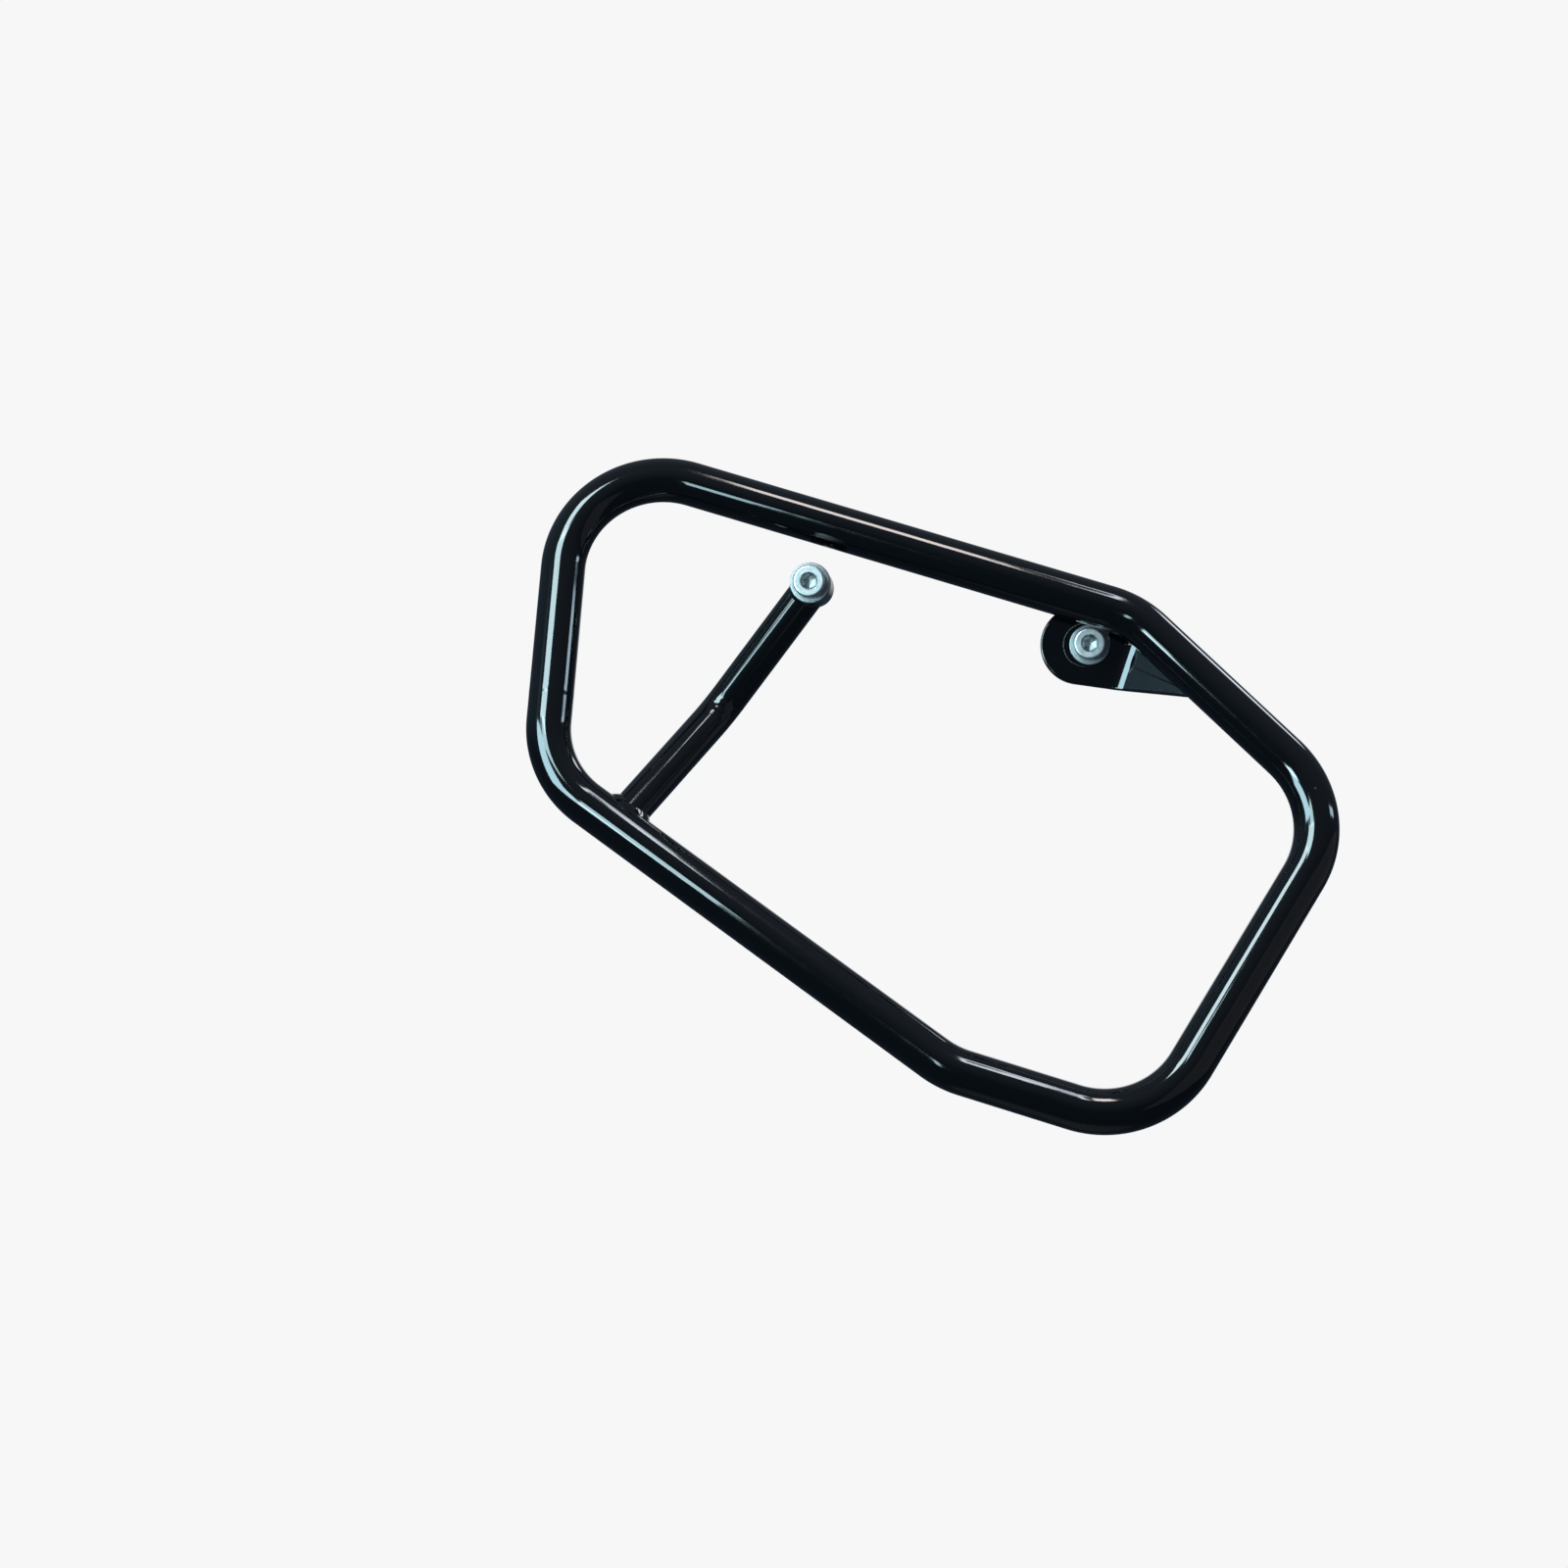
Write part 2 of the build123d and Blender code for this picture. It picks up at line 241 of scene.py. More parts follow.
def zincPlate(name):
    # bright zinc: cool patches of chromate, cloudy gloss, a fine grain, and painted shade, darker and duller,
    # where the mesh says so
    material, tree, bsdf = newMaterial(name)
    place = nodeIn(tree, "ShaderNodeTexCoord").outputs["Object"]
    patch = nodeIn(tree, "ShaderNodeTexNoise", {"Vector": place, "Scale": zincLook["patchScale"],
                                                "Detail": 3.0})
    tint = nodeIn(tree, "ShaderNodeMapRange", {"Value": patch.outputs[0], "From Min": zincLook["patchFrom"],
                                               "From Max": zincLook["patchTo"]})
    metal = mixColours(tree, tint.outputs[0], zincLook["bright"], zincLook["tinted"])
    # painted shade mask from the mesh: 1 in the screws' sockets, 0.9 over the washers
    paintedShade = nodeIn(tree, "ShaderNodeAttribute", attribute_name="paintedShade").outputs["Fac"]
    tree.links.new(mixColours(tree, paintedShade, metal, zincLook["paintedShade"]), bsdf.inputs["Base Color"])
    marks = placeGroup(tree, handling, Cloud_Size=zincLook["cloudSize"], Streak_Size=zincLook["streakSize"])
    gloss = nodeIn(tree, "ShaderNodeMapRange", {"Value": marks.outputs[0], "To Min": zincLook["smooth"],
                                                "To Max": zincLook["matt"]})
    paintedShadeRoughness = nodeIn(tree, "ShaderNodeMapRange", {"Value": paintedShade, "To Min": gloss.outputs[0],
                                                "To Max": zincLook["paintedShadeRough"]})
    tree.links.new(paintedShadeRoughness.outputs[0], bsdf.inputs["Roughness"])
    grain = nodeIn(tree, "ShaderNodeTexNoise", {"Vector": place, "Scale": zincLook["grainScale"],
                                                "Detail": 1.0})
    bump = nodeIn(tree, "ShaderNodeBump", {"Height": grain.outputs[0], "Strength": zincLook["grainStrength"],
                                           "Distance": zincLook["grainDepth"]})
    tree.links.new(bump.outputs[0], bsdf.inputs["Normal"])
    bsdf.inputs["Metallic"].default_value = 1.0
    return material


zinc = zincPlate("zincPlate")
print("materials made")

# hoop

hoop = {"radius": 9.0, "bend": 40.0, "rake": 17.1, "lean": 14.0, "standoff": 16.0, "rise": 25.266,
        "corners": ((-109.6, 0), (127.685, 0), (229.3, -53.5), (192.6, -199), (110.9, -199), (-76.8, -133.7)),
        "around": 96, "arcStep": 1.1, "runStep": 2.5}

rake, lean = np.radians((hoop["rake"], hoop["lean"]))
hoopX = np.array((np.cos(rake), 0, -np.sin(rake)))
topUp = np.array((np.sin(rake), 0, np.cos(rake)))
hoopY = topUp * np.cos(lean) + np.array((0, 1, 0)) * np.sin(lean)
hoopZ = np.cross(hoopX, hoopY)
hoopOrigin = topUp * hoop["rise"] - np.array((0, hoop["standoff"], 0))


def inSpace(flat):
    # hoop's own plane to the part's frame: origin + x * X + y * Y
    flat = np.asarray(flat, float)
    return hoopOrigin + flat[..., :1] * hoopX + flat[..., 1:2] * hoopY


def roundedLoop(corners, radius, arcStep, runStep):
    # closed line of straight runs and arcs: a corner is cut back by radius * tan(turn / 2), its arc is
    # start + radius * (sin(a) * along + (1 - cos(a)) * inward), and the tangent turns by the same a
    ahead = np.roll(corners, -1, axis=0) - corners
    length = np.linalg.norm(ahead, axis=1)
    along = ahead / length[:, None]
    before = np.roll(along, 1, axis=0)
    turn = np.arctan2(before[:, 0] * along[:, 1] - before[:, 1] * along[:, 0], (before * along).sum(1))
    cut = radius * np.tan(np.abs(turn) / 2)
    points, tangents = [], []
    for i in range(len(corners)):
        inward = np.sign(turn[i]) * np.array((-before[i, 1], before[i, 0]))
        a = np.linspace(0, abs(turn[i]), int(abs(turn[i]) * radius / arcStep), endpoint=False)[:, None]
        start = corners[i] - before[i] * cut[i]
        points.append(start + radius * (np.sin(a) * before[i] + (1 - np.cos(a)) * inward))
        tangents.append(np.cos(a) * before[i] + np.sin(a) * inward)
        run = length[i] - cut[i] - cut[(i + 1) % len(corners)]
        s = np.linspace(0, run, int(run / runStep), endpoint=False)[:, None]
        points.append(corners[i] + along[i] * (cut[i] + s))
        tangents.append(along[i] + 0 * s)
    return np.concatenate(points), np.concatenate(tangents)


corners = np.array(hoop["corners"], float)
loopFlat, tangentFlat = roundedLoop(corners, hoop["bend"], hoop["arcStep"], hoop["runStep"])
loopAt = inSpace(loopFlat)
loopDir = tangentFlat[:, :1] * hoopX + tangentFlat[:, 1:] * hoopY
angle = turns(hoop["around"])[None, :, None]
loopSide = np.cross(loopDir, hoopZ)[:, None]
# tube: line + radius * (cos v * plane normal + sin v * sideways)
tubeGrid = loopAt[:, None] + hoop["radius"] * (np.cos(angle) * hoopZ + np.sin(angle) * loopSide)
makeClosed("hoopTube", tubeGrid, tubePaint, "hoop_tube")

topRear, topFront, nose, _, lowRear, tail = inSpace(corners)
rearRun, lowerRun, frontRun = unit(topRear - tail), unit(lowRear - tail), unit(nose - topFront)

# weld that closes the hoop

seam = {"fromTail": 33.0, "width": 5.0, "crown": 0.03, "ripple": 0.008, "pitch": 1.7, "trail": 1.8,
        "wanderSlow": 0.25, "wanderQuick": 0.15, "edgeSink": 0.004, "sink": 0.5, "underHalf": 2.0,
        "around": 240, "across": 14}


def scallop(phase):
    # one weld ripple per turn of phase: a round back with a sharp valley, less its mean
    sharpness, mean = 0.8, 0.62
    return np.abs(np.cos(phase / 2)) ** sharpness - mean


def seamBead():
    # ring round the rear run: radius = tube + (crown + ripples that trail in the middle) * cos^2(t * pi / 2);
    # it closes inside the tube's wall
    v = turns(seam["around"])[None, :]
    t = np.linspace(-1, 1, seam["across"])[:, None]
    count = round(2 * np.pi * hoop["radius"] / seam["pitch"])
    bell = np.cos(t * np.pi / 2) ** 2
    wander = seam["wanderSlow"] * np.sin(3 * v + 0.7) + seam["wanderQuick"] * np.sin(7 * v)
    raised = seam["crown"] + seam["ripple"] * scallop(count * v - seam["trail"] * bell)
    under = np.full((2, seam["around"]), hoop["radius"] - seam["sink"])
    radius = np.concatenate((hoop["radius"] - seam["edgeSink"] + bell * raised, under))
    axial = np.concatenate((t * seam["width"] / 2 + wander, seam["underHalf"] + 0 * v,
                            -seam["underHalf"] + 0 * v))
    side = np.cross(rearRun, hoopZ)
    centre = tail + rearRun * seam["fromTail"]
    spoke = np.cos(v)[..., None] * hoopZ + np.sin(v)[..., None] * side
    return centre + axial[..., None] * rearRun + radius[..., None] * spoke


makeClosed("seamBead", seamBead(), weldPaint, "hoop_seam_weld", sharpAngle=60)

# stay from the lower run to the rear bolt

stay = {"radius": 7.5, "bend": 26.0, "slope": 53.0, "upper": 64.2, "footFromTail": 36.6, "top": (0, -11, 0),
        "sink": 0.4, "wrinkle": 0.14, "wrinklePitch": 5.0, "around": 96, "rows": (22, 60, 26)}
bush = {"radius": 8.0, "bore": 4.3, "length": 22.0, "chamfer": 0.6, "mouth": 0.3, "mouthDepth": 0.4,
        "around": 96}

stayTop = np.array(stay["top"], float)
slope = np.radians(stay["slope"])
stayBend = stayTop + stay["upper"] * np.array((-np.cos(slope), 0, -np.sin(slope)))
stayFoot = tail + lowerRun * stay["footFromTail"]
upperDir, lowerDir = unit(stayBend - stayTop), unit(stayFoot - stayBend)
stayTurn = np.arccos(upperDir @ lowerDir)
stayCut = stay["bend"] * np.tan(stayTurn / 2)
bendStart = np.linalg.norm(stayBend - stayTop) - stayCut
bendEnd = bendStart + stay["bend"] * stayTurn
stayLength = bendEnd + np.linalg.norm(stayFoot - stayBend) - stayCut
stayInward = unit(lowerDir - (lowerDir @ upperDir) * upperDir)
staySide = np.cross(upperDir, stayInward)


def stayLine(s):
    # run, arc, run: top + upper * min(s, start) + bend * (sin a, 1 - cos a) + lower * (s - end), and the
    # line's tangent there
    a = np.clip((s - bendStart) / stay["bend"], 0, stayTurn)[..., None]
    at = stayTop + upperDir * np.minimum(s, bendStart)[..., None]
    at = at + stay["bend"] * (np.sin(a) * upperDir + (1 - np.cos(a)) * stayInward)
    at = at + lowerDir * np.maximum(s - bendEnd, 0)[..., None]
    return at, np.cos(a) * upperDir + np.sin(a) * stayInward


def copeReach(offset, away, hostDir, hostRadius):
    # how far along a branch's own direction its wall leaves the host tube: a line against a cylinder
    flatOffset = offset - (offset @ hostDir)[..., None] * hostDir
    flatAway = away - (away @ hostDir) * hostDir
    a = flatAway @ flatAway
    b = flatOffset @ flatAway
    return (-b + np.sqrt(b * b - a * ((flatOffset ** 2).sum(-1) - hostRadius ** 2))) / a


def spokes(v, along):
    # ring of unit spokes square to a direction of the stay
    return np.cos(v)[..., None] * staySide + np.sin(v)[..., None] * np.cross(along, staySide)


bushAxis = np.array((0, 1.0, 0))
stayAngle = turns(stay["around"])
topReach = copeReach(stay["radius"] * spokes(stayAngle, upperDir), upperDir, bushAxis, bush["radius"])
footReach = copeReach(stay["radius"] * spokes(stayAngle, lowerDir), -lowerDir, lowerRun, hoop["radius"])
startAt, endAt = topReach - stay["sink"], stayLength - footReach + stay["sink"]
share = [np.linspace(0, 1, n, endpoint=last)[:, None] for n, last in zip(stay["rows"], (False, False, True))]
stayS = np.concatenate((startAt + (bendStart - startAt) * share[0],
                        bendStart + (bendEnd - bendStart) * share[1] + 0 * startAt,
                        bendEnd + (endAt - bendEnd) * share[2]))
lineAt, lineDir = stayLine(stayS)
# wrinkles inside the bend: radius less depth * (inward share)^2 * sin^2 along the arc * (1 - cos(turns)) / 2
arcShare = np.clip((stayS - bendStart) / (bendEnd - bendStart), 0, 1)
inwards = np.maximum(-np.sin(stayAngle), 0) ** 2
ridges = (1 - np.cos(2 * np.pi * (stayS - bendStart) / stay["wrinklePitch"])) / 2
stayRadius = (stay["radius"] - stay["wrinkle"] * inwards * np.sin(np.pi * arcShare) ** 2 * ridges)[..., None]
stayGrid = lineAt + stayRadius * (np.cos(stayAngle)[None, :, None] * staySide
                                  + np.sin(stayAngle)[None, :, None] * np.cross(lineDir, staySide))
ends = stayLine(np.array((startAt.max(), endAt.min())))[0]
makePiece("stayTube", np.concatenate((stayGrid.reshape(-1, 3), ends)),
          cappedFaces(sum(stay["rows"]), stay["around"]), tubePaint, "stay_tube")

# fillet welds round the stay's ends

fillet = {"footLeg": 2.4, "bushLeg": 1.6, "ripple": 0.07, "pitch": 2.3, "trail": 1.6, "hollow": 1.9,
          "swellSlow": 0.07, "swellQuick": 0.05, "toeSink": 0.5, "rootSink": 0.8, "around": 320, "across": 16}


def saddleBead(joint, hostDir, hostRadius, away, leg, turnedBy):
    # bead in the corner between a branch and the tube that it stands on. Root = where the branch's wall
    # leaves the host; a point is root moved over the host by leg * sin^p t, kept on the host's wall, then up
    # the branch by leg * cos^p t; the leg swells and ripples along the root, and the section closes inside
    # both walls
    v = turns(fillet["around"])
    spoke = spokes(v, away)
    offset = stay["radius"] * spoke
    root = joint + offset + copeReach(offset, away, hostDir, hostRadius)[:, None] * away
    fromAxis = root - joint - ((root - joint) @ hostDir)[:, None] * hostDir
    hostOut = unit(fromAxis)
    tangent = unit(np.roll(root, -1, axis=0) - np.roll(root, 1, axis=0))
    over = unit(np.cross(tangent, hostOut))
    over = over * np.sign((over * spoke).sum(1))[:, None]
    step = np.linalg.norm(np.roll(root, -1, axis=0) - root, axis=1)
    travel = np.concatenate(((0,), np.cumsum(step)[:-1])) / step.sum()
    count = round(step.sum() / fillet["pitch"])
    t = np.linspace(0, np.pi / 2, fillet["across"])[:, None]
    bell = np.sin(2 * t)
    swell = 1 + fillet["swellSlow"] * np.sin(2 * np.pi * 2 * travel + turnedBy) \
        + fillet["swellQuick"] * np.sin(2 * np.pi * 5 * travel)
    wave = bell * fillet["ripple"] * scallop(2 * np.pi * count * travel - fillet["trail"] * bell)
    legOver = leg * swell * np.sin(t) ** fillet["hollow"] + wave
    legUp = leg * swell * np.cos(t) ** fillet["hollow"] + wave
    moved = root - joint + legOver[..., None] * over
    axial = (moved @ hostDir)[..., None] * hostDir
    onHost = joint + axial + hostRadius * unit(moved - axial)
    skin = onHost + legUp[..., None] * away
    inside = np.stack((onHost[-1] - fillet["toeSink"] * hostOut,
                       root - fillet["rootSink"] * (hostOut + spoke),
                       root + leg * away - fillet["toeSink"] * spoke))
    return np.concatenate((skin, inside))


footGrid = saddleBead(stayFoot, lowerRun, hoop["radius"], -lowerDir, fillet["footLeg"], 0.4)
makeClosed("footBead", footGrid, weldPaint, "stay_foot_weld", sharpAngle=70)
bushGrid = saddleBead(stayTop, bushAxis, bush["radius"], upperDir, fillet["bushLeg"], 2.1)
makeClosed("bushBead", bushGrid, weldPaint, "stay_bush_weld", sharpAngle=70)


def revolved(profile, around, at):
    # profile of (radius, y) turned about the Y axis through a point: at + (r cos v, y, r sin v)
    profile = np.asarray(profile, float)
    v = turns(around)[None, :]
    r, y = profile[:, :1], profile[:, 1:2]
    return np.asarray(at, float) + np.stack((r * np.cos(v), y + 0 * v, r * np.sin(v)), axis=-1)


def arcProfile(centreR, centreY, radius, fromDeg, toDeg, steps):
    a = np.radians(np.linspace(fromDeg, toDeg, steps))
    return np.stack((centreR + radius * np.cos(a), centreY + radius * np.sin(a)), axis=1)


# bush: half of a tube section with a chamfer at each corner, and the same mirrored to its other end
bushEnd = np.array(((bush["bore"], -bush["mouthDepth"]), (bush["bore"] + bush["mouth"], 0),
                    (bush["radius"] - bush["chamfer"], 0), (bush["radius"], -bush["chamfer"])))
bushProfile = np.concatenate((bushEnd, bushEnd[::-1] * (1, -1) - (0, bush["length"])))
makeClosed("stayBush", revolved(bushProfile, bush["around"], (0, 0, 0)), tubePaint,
           "stay_bush", sharpAngle=30)
print("hoop, stay and welds made")

# front bracket

bracket = {"bolt": (112.2, -24.3), "plate": 4.0, "tabRound": 16.0, "tabOffset": 4.0, "wingReach": 44.5,
           "wingCover": 5.0, "foldFromBolt": 17.5, "foldSlant": 71.5, "foldAngle": 32.0, "foldInner": 10.0,
           "edgeRound": 0.8, "slotRadius": 4.5, "seatRadius": 8.55, "travel": 1.9, "seatDepth": 0.8,
           "seatEdge": 0.4, "slotEdge": 0.25, "around": 420, "rows": 70, "arcPoints": 400}

foldAngle, slant = np.radians((bracket["foldAngle"], bracket["foldSlant"]))
foldAhead = np.array((np.sin(slant), -np.cos(slant)))        # in x, z: square to the fold, towards the wing
foldAt = np.array(bracket["bolt"]) + np.array((bracket["foldFromBolt"], 0))
foldStart = -(bracket["foldInner"] + bracket["plate"] / 2) * np.tan(foldAngle / 2)
foldCentreY = -bracket["plate"] - bracket["foldInner"]


def sheetSide(flat, radius):
    # y of one side of the folded sheet over x, z: flat, then an arc about the fold's centre, then a slope
    p = (flat - foldAt) @ foldAhead - foldStart
    a = np.clip(np.arcsin(np.clip(p / radius, -1, 1)), 0, foldAngle)
    past = np.maximum(p - radius * np.sin(foldAngle), 0)
    return foldCentreY + radius * np.cos(a) - past * np.tan(foldAngle)


def bracketOutline(count):
    # hull of the tab's circle and the wing's end, seen from the side, at even steps of its length
    centre = np.array(bracket["bolt"]) - np.array((bracket["tabOffset"], 0))
    radius = bracket["tabRound"]
    run = np.array((frontRun[0], frontRun[2]))
    high = np.array((topFront[0], topFront[2])) + bracket["wingCover"] * np.array((frontRun[2], -frontRun[0]))
    low = high + bracket["wingReach"] * run

    def tangentAngle(point, side):
        # where a line from the point touches the circle
        d = point - centre
        return np.arctan2(d[1], d[0]) + side * np.arccos(radius / np.linalg.norm(d))

    first, last = tangentAngle(high, 1), tangentAngle(low, -1) + 2 * np.pi
    a = np.linspace(first, last, bracket["arcPoints"])
    arc = centre + radius * np.stack((np.cos(a), np.sin(a)), axis=1)
    line = np.concatenate((high[None], arc, low[None], high[None]))
    far = np.concatenate(((0,), np.cumsum(np.linalg.norm(np.diff(line, axis=0), axis=1))))
    s = np.linspace(0, far[-1], count, endpoint=False)
    return np.stack((np.interp(s, far, line[:, 0]), np.interp(s, far, line[:, 1])), axis=1)


def slotEdge(direction, radius):
    # edge of a round-ended slot in a direction from its middle: a flat side, or a round end
    half = bracket["travel"] / 2
    c, s = np.abs(direction[:, 0]), np.maximum(np.abs(direction[:, 1]), 1e-9)
    return np.where(radius * c / s <= half, radius / s, half * c + np.sqrt(radius ** 2 - (half * s) ** 2))


def bracketGrid():
    # closed skin of a slotted plate: down the slot's wall, over the sunk seat, up its rim, out over the
    # front, round the edge, back behind. A point between two edges is edge + share * (next edge - edge), at
    # the height of that side of the sheet
    outline = bracketOutline(bracket["around"])
    middle = np.array(bracket["bolt"]) - np.array((bracket["travel"] / 2, 0))
    ray = unit(outline - middle)
    slot = middle + slotEdge(ray, bracket["slotRadius"])[:, None] * ray
    seat = middle + slotEdge(ray, bracket["seatRadius"])[:, None] * ray
    tangent = unit(np.roll(outline, -1, axis=0) - np.roll(outline, 1, axis=0))
    outward = np.stack((tangent[:, 1], -tangent[:, 0]), axis=1)
    outward = outward * np.sign((outward * ray).sum(1))[:, None]
    frontR, backR = bracket["foldInner"], bracket["foldInner"] + bracket["plate"]
    edge, lip, rim = bracket["edgeRound"], bracket["slotEdge"], bracket["seatEdge"]

    def ease(at, radius, size, inwards, degrees):
        # quarter round from a wall to a face: in by size * (1 - cos a), sunk by size * (1 - sin a)
        flat = [at + size * (1 - np.cos(a)) * ray for a in np.radians(degrees)]
        return [(f, sheetSide(f, radius) + inwards * size * (1 - np.sin(a)))
                for f, a in zip(flat, np.radians(degrees))]

    def spread(start, radius):
        # face from an inner edge to the outline, then round the outline's edge
        inwards = 1 if radius == frontR else -1
        flat = [start + k * (outline - edge * outward - start) for k in np.linspace(0, 1, bracket["rows"])]
        face = [(f, sheetSide(f, radius)) for f in flat]
        for a in np.radians((65, 45, 25, 8)):
            f = outline - edge * (1 - np.cos(a)) * outward
            face.append((f, sheetSide(f, radius) + inwards * edge * (1 - np.sin(a))))
        return face

    sunk = [(flat, y + bracket["seatDepth"]) for flat, y in ease(slot, frontR, lip, 1, (0, 30, 60, 90))]
    floor = [(f, sheetSide(f, frontR) + bracket["seatDepth"])
             for f in (slot + lip * ray + k * (seat - slot - lip * ray) for k in (0.3, 0.6, 0.97, 1.0))]
    front = sunk + floor + ease(seat, frontR, rim, 1, (0, 22, 45, 68)) + spread(seat + rim * ray, frontR)
    back = ease(slot, backR, lip, -1, (0, 30, 60)) + spread(slot + lip * ray, backR)
    return np.stack([np.stack((flat[:, 0], y, flat[:, 1]), axis=1) for flat, y in front + back[::-1]])


plateGrid = bracketGrid()
makeClosed("frontBracket", plateGrid, platePaint, "front_bracket", sharpAngle=40)

wingBead = {"from": 27.0, "to": 38.0, "radius": 2.7, "ripple": 0.22, "pitch": 2.2, "rows": 90, "around": 40}


def bracketBead():
    # bead where the wing's back meets the hoop: root on the cylinder and in the wing's plane, so
    # c cos a + d sin a = -k; section of radius r about it, drawn in to a point at both ends
    s = np.linspace(0, 1, wingBead["rows"])
    axisAt = topFront + frontRun * (wingBead["from"] + s * (wingBead["to"] - wingBead["from"]))[:, None]
    towards = np.array((frontRun[2], frontRun[1], -frontRun[0]))
    first = unit(towards - (towards @ frontRun) * frontRun)
    second = np.cross(frontRun, first)
    ahead = np.array((foldAhead[0], 0, foldAhead[1]))
    wingNormal = np.cos(foldAngle) * np.array((0, 1, 0)) + np.sin(foldAngle) * ahead
    backR = bracket["foldInner"] + bracket["plate"]
    flat = foldAt + foldAhead * (foldStart + backR * np.sin(foldAngle))
    planeAt = np.array((flat[0], foldCentreY + backR * np.cos(foldAngle), flat[1]))
    k = (axisAt - planeAt) @ wingNormal
    c, d = hoop["radius"] * (first @ wingNormal), hoop["radius"] * (second @ wingNormal)
    a = np.arctan2(d, c) - np.arccos(-k / np.hypot(c, d))
    root = axisAt + hoop["radius"] * (np.cos(a)[:, None] * first + np.sin(a)[:, None] * second)
    along = unit(np.gradient(root, axis=0))
    across = unit(np.cross(along, wingNormal))
    up = np.cross(across, along)
    v = turns(wingBead["around"])
    length = np.linalg.norm(np.diff(root, axis=0), axis=1).sum()
    count = length / wingBead["pitch"]
    taper = (1 - np.abs(2 * s - 1) ** 4) ** 0.5
    r = (wingBead["radius"] + wingBead["ripple"] * scallop(2 * np.pi * count * s)) * taper
    grid = root[:, None] + r[:, None, None] * (np.cos(v)[None, :, None] * across[:, None]
                                               + np.sin(v)[None, :, None] * up[:, None])
    return np.concatenate((grid[1:-1].reshape(-1, 3), root[:1], root[-1:]))


makePiece("bracketBead", bracketBead(), cappedFaces(wingBead["rows"] - 2, wingBead["around"]), weldPaint,
          "bracket_weld", sharpAngle=70)
print("bracket made")

# screws and washers

screw = {"head": 6.5, "height": 8.0, "edge": 1.0, "underEdge": 0.35, "neck": 0.4, "shank": 4.0,
         "socket": 3.0, "socketDepth": 4.2, "lead": 0.55, "rim": 0.12, "wallFrom": 1.6, "wallTo": 0.1,
         "cone": ((0.25, 0.75), (0.6, 0.4), (0.97, 0.0)), "coneTip": 0.9, "socketRows": 8,
         "knurls": 48, "knurlDepth": 0.16, "knurlFrom": 0.15, "knurlTo": 0.5,
         "crest": 3.94, "root": 3.27, "pitch": 1.25, "threadSteps": 14, "runOut": 2.0, "plainEnd": -0.3,
         "chamfer": 1.2, "chamferSlope": 0.9, "tipHole": 0.4, "around": 288}


def screwSkin(at, bearingY, tipY):
    # one skin from the socket's floor, up its walls, over the head, down the shank and the thread to the tip.
    # Hexagon: r = flat / cos(angle from the nearest flat's middle). Knurl: r less depth * sin^2 round the
    # head. Thread: r between root and crest by the distance from the helix y = pitch * turn
    v = turns(screw["around"])
    rings = []

    def ring(r, y):
        rings.append(np.stack((r * np.cos(v), y + 0 * v, r * np.sin(v)), axis=-1))

    hexR = screw["socket"] / np.cos((v + np.pi / 6) % (np.pi / 3) - np.pi / 6)
    topY, faceR = bearingY - screw["height"], screw["head"] - screw["edge"]
    floorY = topY + screw["socketDepth"]
    mouth = screw["socket"] / np.cos(np.pi / 6) + screw["rim"]
    for share, deeper in screw["cone"]:
        ring(share * hexR, floorY + deeper)
    ring(hexR, floorY - screw["wallTo"])
    ring(hexR, topY + screw["wallFrom"])
    for k in np.linspace(0, 1, 5):                            # lead-in: hexagon opening into a circle
        opening = np.maximum(hexR, screw["socket"] + k * (mouth - screw["socket"]))
        ring(opening, topY + screw["lead"] * (1 - k))
    for r in np.linspace(mouth + screw["rim"], faceR, 12):
        ring(r, topY)
    for a in np.radians(np.linspace(8, 90, 9)):               # rounded edge of the head
        ring(faceR + screw["edge"] * np.sin(a), topY + screw["edge"] * (1 - np.cos(a)))
    sideY = np.linspace(topY + screw["edge"] + screw["knurlFrom"], bearingY - screw["knurlTo"], 14)
    for k, y in enumerate(sideY):
        fade = min(1, k / 2, (len(sideY) - 1 - k) / 2)
        ring(screw["head"] - screw["knurlDepth"] * fade * np.sin(screw["knurls"] * v / 2) ** 2, y)
    ring(screw["head"] - screw["underEdge"], bearingY)
    ring(screw["shank"] + screw["neck"], bearingY)
    ring(screw["shank"], bearingY + screw["neck"])
    ring(screw["shank"], screw["plainEnd"])
    for y in np.arange(0.0, tipY - 0.05, screw["pitch"] / screw["threadSteps"]):
        turn = (y / screw["pitch"] - v / (2 * np.pi)) % 1
        tooth = np.clip(1.5 - 4 * np.abs(turn - 0.5), 0, 1)
        grow = min(1.0, y / screw["runOut"])
        r = screw["root"] + (screw["crest"] - screw["root"]) * np.maximum(tooth, 1 - grow)
        pastChamfer = max(0.0, y - (tipY - screw["chamfer"]))
        ring(np.minimum(r, screw["crest"] - pastChamfer * screw["chamferSlope"]), y)
    ring(screw["crest"] - screw["chamfer"], tipY)
    ring(screw["tipHole"], tipY)
    poles = np.array(((0, floorY + screw["coneTip"], 0), (0, tipY, 0)))
    return np.concatenate((*rings, poles)) + np.array((at[0], 0, at[1])), len(rings)


def setPaintedShade(piece, values):
    piece.data.attributes.new("paintedShade", "FLOAT", "POINT").data.foreach_set("value", values)


def makeScrew(name, stands, at, bearingY, tipY):
    # screw whose socket is darkened with painted shade: the first rings, and the point of the socket's cone
    points, rows = screwSkin(at, bearingY, tipY)
    faces = cappedFaces(rows, screw["around"])
    piece = makePiece(name, points, faces, zinc, stands, sharpAngle=32)
    # painted shade in the socket's recess
    paintedShade = np.zeros(len(points), np.float32)
    paintedShade[:screw["socketRows"] * screw["around"]] = 1
    paintedShade[-2] = 1
    setPaintedShade(piece, paintedShade)


